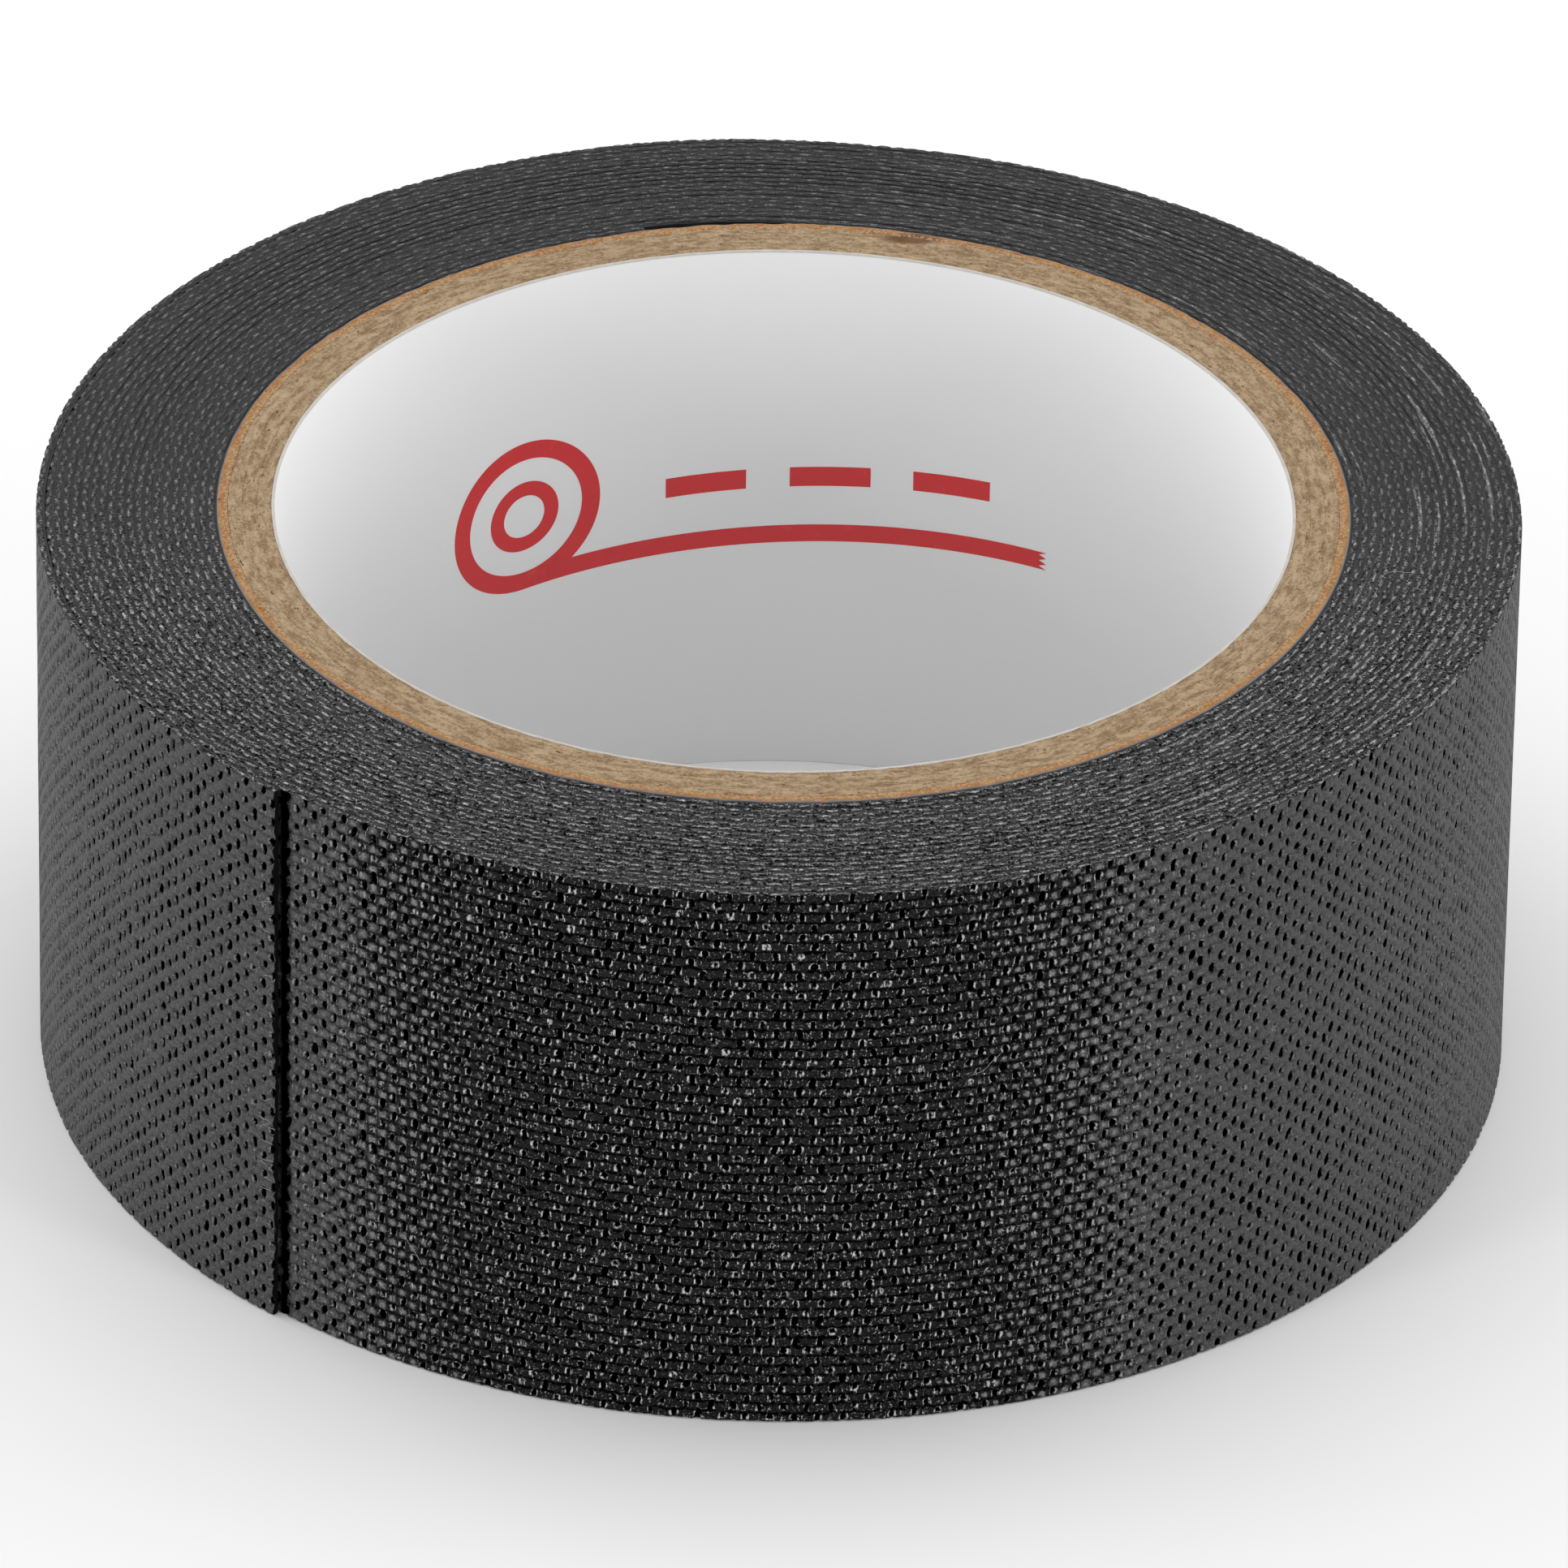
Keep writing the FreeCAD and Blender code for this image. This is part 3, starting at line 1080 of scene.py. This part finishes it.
    def whole_turns(self, part: str, pattern: Piece, firsts: list[float], per_degree: float) -> list[Piece]:
        """Lays copies of a pattern one after the other on turns that don't move.

        Args:
            part: the turns that they make up.
            pattern: the flat length, which is used up.
            firsts: angles at which the copies begin.
            per_degree: length of a degree of the path in the pattern.

        Returns:
            The pieces.
        """
        made = []
        for k, first in enumerate(firsts, 1):
            piece = self.lay(pattern, f"{part}_cloth_{k}", first, per_degree)
            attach(piece, "root")
            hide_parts(f"cloth_{part}")
            made.append(piece)
        scrap(pattern)
        return made

    def outer_turn(self) -> list[Piece]:
        """Makes the outermost whole turn, in sectors.

        Returns:
            The pieces.
        """
        share = 360 / self.sectors
        pattern = self.woven_pattern(round(share * self.winding.picks_per_degree))
        firsts = [self.winding.outer_start + k * share for k in range(self.sectors)]
        return self.whole_turns("outer_turn", pattern, firsts, self.woven_degree)

    def inner_turns(self) -> list[Piece]:
        """Makes the turns under the outermost one, of which only the slit edges show.

        Returns:
            The pieces.
        """
        share = (self.winding.outer_start - self.winding.start) / self.inner_lengths
        length = share * FLAT_DEGREE
        step = length / round(share * self.winding.picks_per_degree * self.stations_per_pick)
        pattern = self.plain_pattern(length, step, TAPE_WIDTH, self.thickness, self.edge_rows)
        firsts = [self.winding.start + k * share for k in range(self.inner_lengths)]
        return self.whole_turns("inner_turns", pattern, firsts, FLAT_DEGREE)

    def tail(self, hinges: list[Vector]) -> list[Piece]:
        """Makes the tail, a length for each link.

        Args:
            hinges: places of the joints and the end of the strip; not used.

        Returns:
            The pieces.
        """
        path = self.winding
        pattern = self.woven_pattern(path.picks_per_link)
        made = []
        for k in range(1, path.links + 1):
            first = path.tail_root + (k - 1) * path.link_angle
            ragged = self.ragged_end if k == path.links else 0.0
            piece = self.lay(pattern, f"tail_cloth_{k}_woven", first, self.woven_degree, ragged)
            bend(piece)
            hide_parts(f"tail_cloth_{k}")
            made.append(piece)
        scrap(pattern)
        return made


def bend(piece: Piece) -> None:
    """Applies the object transform of a length of the tail to its mesh."""
    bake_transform(piece)


@dataclass
class AdhesiveCoat:
    """The rubber on the inner face of the strip, drawn back a little from its slit edges."""

    backing: Backing
    finish: Material
    recess: float = 0.04 * MM
    wander: float = 0.02 * MM
    tail_gap: float = 0.012 * MM
    short_end: float = 0.6
    step: float = 2.0

    def length(self, name: str, first: float, last: float, inner: float = 0.0) -> Piece:
        """Makes a closed length of adhesive on its path.

        Args:
            name: of the piece.
            first: angle at which it begins.
            last: angle at which it ends.
            inner: distance of its inner face from the layer below.

        Returns:
            The piece.
        """
        length = (last - first) * FLAT_DEGREE
        step = length / round((last - first) / self.step)
        width, thickness = TAPE_WIDTH - 2 * self.recess, self.backing.adhesive - inner
        piece = self.backing.plain_pattern(length, step, width, thickness, rows=1)
        piece.name = piece.data.name = name
        flat = points_of(piece)
        degrees = first + flat[:, 0] / FLAT_DEGREE
        inward = self.wander + np.sin(degrees * 0.9) * np.sin(degrees * 0.23) * self.wander
        height = flat[:, 1] + self.recess + np.where(flat[:, 1] > width / 2, -1, 1) * inward
        move_points(piece, self.backing.winding.wrap(degrees, inner + flat[:, 2], height))
        piece.data.materials.append(self.finish)
        smooth(piece, 40)
        return piece

    def build(self, hinges: list[Vector]) -> list[Piece]:
        """Makes all the adhesive: under the inner turns, the outer turn and each link of the tail.

        Args:
            hinges: places of the joints and the end of the strip; not used.

        Returns:
            The pieces.
        """
        path = self.backing.winding
        inner = self.length("inner_turns_rubber", path.start, path.outer_start)
        outer = self.length("outer_turn_rubber", path.outer_start, path.tail_root)
        for piece, node in ((inner, "adhesive_inner_turns"), (outer, "adhesive_outer_turn")):
            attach(piece, "root")
            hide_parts(node)
        made = [inner, outer]
        for k in range(1, path.links + 1):
            first = path.tail_root + (k - 1) * path.link_angle
            last = first + path.link_angle - (self.short_end if k == path.links else 0.0)
            piece = self.length(f"tail_rubber_{k}", first, last, self.tail_gap)
            bend(piece)
            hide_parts(f"tail_adhesive_{k}")
            made.append(piece)
        return made


# ---- The paper core


@dataclass
class PaperPly:
    """One paper tube of the core, turned from its cross-section, with a sawn end."""

    name: str
    slot: Slot
    finish: Material
    roughness: float
    rounding: float
    steps: int = 720
    cuts: int = 3
    torn_round: float = 22.0
    torn_across: float = 3200.0

    @property
    def node(self) -> str:
        """Name of the ply's CAD node."""
        return f"core_{self.name}"

    def build(self) -> Piece:
        """Makes the ply where its CAD node is.

        Returns:
            The piece.
        """
        _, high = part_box(self.node)
        inner = min(math.hypot(v.co.x, v.co.y) for v in frame["nodes"][self.node].data.vertices)
        clear_bench()
        bpy.ops.mesh.primitive_plane_add(size=1, rotation=(math.radians(90), 0, 0))
        piece = bpy.context.object
        piece.name = piece.data.name = self.name
        bpy.ops.object.transform_apply(rotation=True)
        with editing(piece, "EDGE"):
            bpy.ops.mesh.select_all(action="SELECT")
            bpy.ops.transform.resize(value=(high.x - inner, 1, high.z))
            bpy.ops.transform.translate(value=((inner + high.x) / 2, 0.0, high.z / 2))
            bpy.ops.mesh.bevel(offset=self.rounding, segments=2, affect="VERTICES")
            bpy.ops.mesh.select_all(action="SELECT")
            bpy.ops.mesh.delete(type="ONLY_FACE")
            pick_edges(piece, lambda e: near(e.verts, 2, 0.0) or near(e.verts, 2, high.z))
            bpy.ops.mesh.subdivide(number_cuts=self.cuts)
            bpy.ops.mesh.select_all(action="SELECT")
            bpy.ops.mesh.spin(
                steps=self.steps, angle=math.tau, center=(0, 0, 0), axis=(0, 0, 1), use_auto_merge=False,
            )
            bpy.ops.mesh.select_all(action="SELECT")
            bpy.ops.mesh.remove_doubles(threshold=MERGE_DISTANCE)
            bpy.ops.mesh.normals_make_consistent(inside=False)
        self.saw(piece, high.z)
        piece.data.materials.append(self.finish)
        smooth(piece, 40)
        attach(piece, "root")
        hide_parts(self.node)
        return piece

    def saw(self, piece: Piece, height: float) -> None:
        """Roughens both ends, inwards only, as a blade leaves them.

        Args:
            piece: the ply.
            height: of its upper end.
        """
        points = points_of(piece)
        margin = 2 * self.rounding
        for point in points:
            end = 1 if point[2] > height - margin else -1 if point[2] < margin else 0
            if end:
                angle, radius = math.atan2(point[1], point[0]), math.hypot(point[0], point[1])
                round_x, round_y = math.cos(angle) * self.torn_round, math.sin(angle) * self.torn_round
                # The last number keeps the noise of one end apart from the other's.
                place = Vector((round_x, round_y, radius * self.torn_across + end * 9))
                torn = abs(noise.noise(place)) + 0.5 * abs(noise.noise(place * 3.1))
                point[2] -= end * min(torn, 1.0) * self.roughness
        move_points(piece, points)


@dataclass
class PrintedMark:
    """A plain red pictogram on the liner: a roll from its side, a strip that leaves it, and three dashes."""

    bore: float
    finish: Material
    centre_angle: float = 93.0
    centre_height: float = 10.9 * MM
    left: float = -7.9 * MM
    ring_radius: float = 2.7 * MM
    ring_stroke: float = 0.62 * MM
    hub_radius: float = 1.25 * MM
    hub_stroke: float = 0.5 * MM
    strip_length: float = 17.3 * MM
    strip_width: float = 0.62 * MM
    tooth: float = 0.28 * MM
    teeth: int = 3
    dashes: int = 3
    dash: tuple = (2.6 * MM, 0.7 * MM)
    first_dash: tuple = (4.9 * MM, 2.1 * MM)
    dash_pitch: float = 4.0 * MM
    slope: float = 0.06
    lift: float = 0.012 * MM
    sunk: float = 0.002 * MM

    def ring(self, outer: float, stroke: float) -> Piece:
        """Makes a flat ring round the roll's centre, in a plane where x runs to the right and y upwards.

        Args:
            outer: its radius.
            stroke: its width.

        Returns:
            The piece.
        """
        clear_bench()
        centre = (self.left, 0, 0)
        bpy.ops.mesh.primitive_circle_add(vertices=96, radius=outer, location=centre, fill_type="NGON")
        piece = bpy.context.object
        bpy.ops.object.transform_apply(location=True)
        with editing(piece):
            bpy.ops.mesh.select_all(action="SELECT")
            bpy.ops.mesh.inset(thickness=stroke)
            bpy.ops.mesh.delete(type="FACE")
        return piece

    def band(self, first: float, y: float, length: float, width: float, teeth: int = 0) -> Piece:
        """Makes a flat band.

        Args:
            first: x of its left end.
            y: of its middle line.
            length: of the band.
            width: of the band.
            teeth: on its right end, if that is torn.

        Returns:
            The piece.
        """
        clear_bench()
        rows = max(2 * teeth, 1)
        bpy.ops.mesh.primitive_grid_add(x_subdivisions=60, y_subdivisions=rows, size=2)
        piece = bpy.context.object
        points = points_of(piece)
        share = (points[:, 0] + 1) / 2
        row = np.rint((points[:, 1] + 1) * rows / 2)
        torn = np.where((row % 2 == 0) & (share > 0.995), self.tooth, 0.0) * bool(teeth)
        x, height = first + length * share + torn, y + points[:, 1] * width / 2
        move_points(piece, np.column_stack((x, height, 0 * share)))
        return piece

    def build(self) -> Piece:
        """Makes the mark and lays it on the bore.

        Returns:
            The piece.
        """
        bottom = -self.ring_radius + self.strip_width / 2
        parts = [
            self.ring(self.ring_radius, self.ring_stroke),
            self.ring(self.hub_radius, self.hub_stroke),
            self.band(self.left, bottom, self.strip_length, self.strip_width, self.teeth),
        ]
        for k in range(self.dashes):
            start = self.left + self.first_dash[0] + self.dash_pitch * k
            parts.append(self.band(start, bottom + self.first_dash[1], *self.dash))
        piece = join(parts, "liner_print")
        apply_modifier(piece, "SOLIDIFY", thickness=self.lift, offset=1.0)
        flat = points_of(piece)
        # The far wall of the bore is seen from inside, so the right of the mark is at the smaller angle.
        angle = math.radians(self.centre_angle) - flat[:, 0] / self.bore
        radius = self.bore - self.sunk - flat[:, 2]
        height = self.centre_height + flat[:, 1] + flat[:, 0] * self.slope
        move_points(piece, np.column_stack((radius * np.cos(angle), radius * np.sin(angle), height)))
        outwards(piece)
        piece.data.materials.clear()
        piece.data.materials.append(self.finish)
        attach(piece, "root")
        return piece


@dataclass
class Core:
    """The paper core: a liner, three plies of board, a ply of kraft paper, and the liner's printed mark."""

    spot: Pair = (3.9 * MM, 16.75 * MM)
    rim_radius: float = 17.58 * MM
    liner_thickness: float = 0.1 * MM
    board_plies: int = 3

    def build(self) -> list[Piece]:
        """Makes the plies from the bore outwards, and the mark.

        Returns:
            The pieces.
        """
        board = CutPaper(
            "sawn chipboard", (0.44, 0.325, 0.20), (0.22, 0.14, 0.074), (0.14, 0.038, 0.014), self.spot,
        ).material()
        kraft = CutPaper(
            "sawn kraft paper", (0.40, 0.225, 0.095), (0.32, 0.13, 0.032), (0.18, 0.035, 0.012), self.spot,
            rim=(0.16, 0.18, 0.20), rim_radius=self.rim_radius,
        ).material()
        white = GlossyPaper().material()
        plies = [PaperPly("liner_paper", Slot.LINER, white, 0.02 * MM, 0.02 * MM, cuts=1)]
        for k in range(1, self.board_plies + 1):
            plies.append(PaperPly(f"chipboard_ply_{k}", Slot.CHIPBOARD, board, 0.07 * MM, 0.015 * MM))
        plies.append(PaperPly("kraft_ply", Slot.KRAFT, kraft, 0.06 * MM, 0.03 * MM))
        made = [ply.build() for ply in plies]
        _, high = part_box("core_liner_paper")
        return [*made, PrintedMark(high.x - self.liner_thickness, RED_INK.material()).build()]


# ---- Lint


@dataclass
class Lint:
    """Loose pale fibres that lie on the roll, each a thin bent tube."""

    path: Winding
    finish: Material
    radius: float = 0.007 * MM
    sides: int = 5
    cuts: int = 7
    wall_sunk: float = 0.004 * MM
    edge_sunk: float = 0.012 * MM
    wall_fibres: int = 9
    edge_fibres: int = 30
    end_fibres: int = 14
    wall_angles: Pair = (105, 350)
    edge_angles: Pair = (190, 350)
    end_angles: Pair = (0.6, 1.4)
    heights: Pair = (1, 18)
    distances: Pair = (0.4, 5.2)

    def fibre(self, length: float, curl: float) -> Piece:
        """Makes a tube along x, bent in its plane.

        Args:
            length: of the tube.
            curl: height of its bend as a share of its length.

        Returns:
            The piece.
        """
        clear_bench()
        bpy.ops.mesh.primitive_cylinder_add(vertices=self.sides, radius=self.radius, depth=length)
        piece = bpy.context.object
        with editing(piece, "EDGE"):
            pick_edges(piece, lambda e: abs(e.verts[0].co.z - e.verts[1].co.z) > length / 2)
            bpy.ops.mesh.subdivide(number_cuts=self.cuts)
        points = points_of(piece)[:, [2, 0, 1]]
        share = points[:, 0] / length
        points[:, 1] += length * curl * (4 * share**2 + 0.3 * np.sin(share * 9))
        move_points(piece, points)
        return piece

    def scatter(self, name: str, carrier: str, places: list[tuple], on_wall: bool) -> Piece:
        """Lays fibres on the outer face or on the upper slit edges.

        Args:
            name: of the piece they form.
            carrier: the body they move with.
            places: for each fibre its angle, height or distance from the core, length, heading and curl.
            on_wall: True for the outer face.

        Returns:
            The piece.
        """
        made = []
        for angle, across, length, heading, curl in places:
            piece = self.fibre(length, curl)
            points = points_of(piece)
            along = points[:, 0] * math.cos(heading) - points[:, 1] * math.sin(heading)
            aside = points[:, 0] * math.sin(heading) + points[:, 1] * math.cos(heading)
            reach = self.path.core_radius + (self.path.layer * self.path.whole_turns if on_wall else across)
            degrees = angle + np.degrees(along / reach)
            if on_wall:
                distance = self.path.layer - self.wall_sunk + points[:, 2]
                laid = self.path.wrap(degrees, distance, across + aside)
            else:
                turned, radius = np.radians(degrees), reach + aside
                height = TAPE_WIDTH - self.edge_sunk + points[:, 2]
                laid = np.column_stack((radius * np.cos(turned), radius * np.sin(turned), height))
            move_points(piece, laid)
            made.append(piece)
        piece = join(made, name)
        outwards(piece)
        piece.data.materials.append(self.finish)
        smooth(piece, 60)
        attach(piece, carrier)
        return piece

    def build(self) -> list[Piece]:
        """Makes all the lint: on the outer face, on the upper slit edges and at the free end.

        Returns:
            The pieces.
        """
        draw = np.random.default_rng(SEED + 1)
        wall = [
            (self.path.outer_start + draw.uniform(*self.wall_angles), draw.uniform(*self.heights) * MM,
             draw.uniform(0.4, 1.1) * MM, draw.uniform(0, math.pi), draw.uniform(-0.12, 0.12))
            for _ in range(self.wall_fibres)
        ]
        edge = [
            (draw.uniform(*self.edge_angles), draw.uniform(*self.distances) * MM,
             draw.uniform(0.3, 1.0) * MM, draw.normal(0.4, 0.7), draw.uniform(-0.25, 0.25))
            for _ in range(self.edge_fibres)
        ]
        fray = [
            (self.path.tail_end - draw.uniform(*self.end_angles), draw.uniform(*self.heights) * MM,
             draw.uniform(0.25, 0.7) * MM, draw.normal(0.3, 0.5), draw.uniform(-0.15, 0.15))
            for _ in range(self.end_fibres)
        ]
        return [
            self.scatter("lint_on_wall", "root", wall, True),
            self.scatter("lint_on_edge", "root", edge, False),
            self.scatter("fray_at_free_end", f"tail_{self.path.links}", fray, True),
        ]


# ---- Studio


@dataclass(frozen=True)
class Softbox:
    """A rectangular light that faces the roll, of one brightness whatever its size."""

    name: str
    place: tuple[float, float, float]
    size: Pair
    radiance: float

    def build(self) -> None:
        """Adds the light."""
        data = bpy.data.lights.new(self.name, "AREA")
        data.shape, data.size, data.size_y = "RECTANGLE", *self.size
        data.energy = self.radiance * math.pi * self.size[0] * self.size[1]
        light = bpy.data.objects.new(self.name, data)
        bpy.context.scene.collection.objects.link(light)
        light.location = self.place
        light.rotation_euler = (Vector(self.place) - Vector((0, 0, 0.01))).to_track_quat("Z", "Y").to_euler()


@dataclass
class Studio:
    """White table, soft light from both sides and above, and the camera."""

    lens: float = 425.4
    sensor: float = 36.0
    distance: float = 581.0 * MM
    elevation: float = 31.53
    roll: float = 0.92
    target: tuple = (0.0, 0.0, 7.80 * MM)
    aim_right: float = 0.16 * MM
    aim_up: float = 0.87 * MM
    clip: Pair = (0.01, 20.0)
    table_size: float = 6.0
    sky: float = 0.66
    lights: tuple = (
        Softbox("left strip light", (-0.42, -0.34, 0.12), (0.10, 0.24), 10.0),
        Softbox("left panel", (-0.50, 0.28, 0.16), (0.5, 0.3), 3.0),
        Softbox("right strip light", (0.42, -0.34, 0.12), (0.10, 0.24), 10.0),
        Softbox("right panel", (0.50, 0.28, 0.16), (0.5, 0.3), 3.0),
        Softbox("top softbox", (0.0, 0.15, 0.8), (0.7, 0.7), 1.3),
    )

    def camera(self) -> None:
        """Adds the camera and makes it the scene's."""
        data = bpy.data.cameras.new("camera")
        data.lens, data.sensor_width = self.lens, self.sensor
        data.clip_start, data.clip_end = self.clip
        camera = bpy.data.objects.new("camera", data)
        bpy.context.scene.collection.objects.link(camera)
        e, r = math.radians(self.elevation), math.radians(self.roll)
        back = Vector((0, -math.cos(e), math.sin(e)))
        level = Vector((1, 0, 0))
        up = back.cross(level)
        right = math.cos(r) * level + math.sin(r) * up
        above = math.cos(r) * up - math.sin(r) * level
        aim = Vector(self.target) + right * self.aim_right + above * self.aim_up
        turned = Matrix((right, above, back)).transposed().to_4x4()
        camera.matrix_world = Matrix.Translation(aim + back * self.distance) @ turned
        bpy.context.scene.camera = camera

    def build(self) -> None:
        """Adds the table, the lights, the surroundings and the camera."""
        clear_bench()
        bpy.ops.mesh.primitive_grid_add(x_subdivisions=8, y_subdivisions=8, size=self.table_size)
        table = bpy.context.object
        table.name = "table"
        table.data.materials.append(WHITE_TABLE.material())
        for light in self.lights:
            light.build()
        world = bpy.data.worlds.new("pale room")
        world.use_nodes = True
        background = world.node_tree.nodes["Background"]
        background.inputs["Color"].default_value = (1.0, 1.0, 1.0, 1.0)
        background.inputs["Strength"].default_value = self.sky
        bpy.context.scene.world = world
        bpy.context.scene.view_settings.view_transform = "Standard"
        self.camera()


def hinge_points(path: Winding) -> list[Vector]:
    """Finds where the tail bends.

    Args:
        path: the strip's path.

    Returns:
        The places of its joints, and the end of the strip.
    """
    points = [Vector(joint["pos_m"]) for joint in frame["joints"]]
    last = path.wrap(np.array([path.tail_end]), np.array([path.layer]), np.array([points[0].z]))
    return [*points, Vector(last[0])]


def main() -> None:
    """Builds the roll and its studio, and reports each piece."""
    logging.basicConfig(level=logging.INFO, format="%(message)s")
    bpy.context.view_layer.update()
    path = Winding()
    hinges = hinge_points(path)
    coat = CoatedFace(float(path.picks_at(path.tail_end - 360))).material()
    backing = Backing(path, Weave(), coat, SlitEdge().material(), CUT_END.material())
    groups: dict[str, Callable[[], list[Piece]]] = {
        "core": Core().build,
        "inner turns": backing.inner_turns,
        "outer turn": backing.outer_turn,
        "tail": lambda: backing.tail(hinges),
        "adhesive": lambda: AdhesiveCoat(backing, RUBBER.material()).build(hinges),
        "lint": Lint(path, PALE_LINT.material()).build,
    }
    for group, build in groups.items():
        for piece in build():
            faces = sum(p.loop_total - 2 for p in piece.data.polygons)
            log.info("%s: %s, %d triangles", group, piece.name, faces)
    Studio().build()


if __name__ == "__main__":
    main()
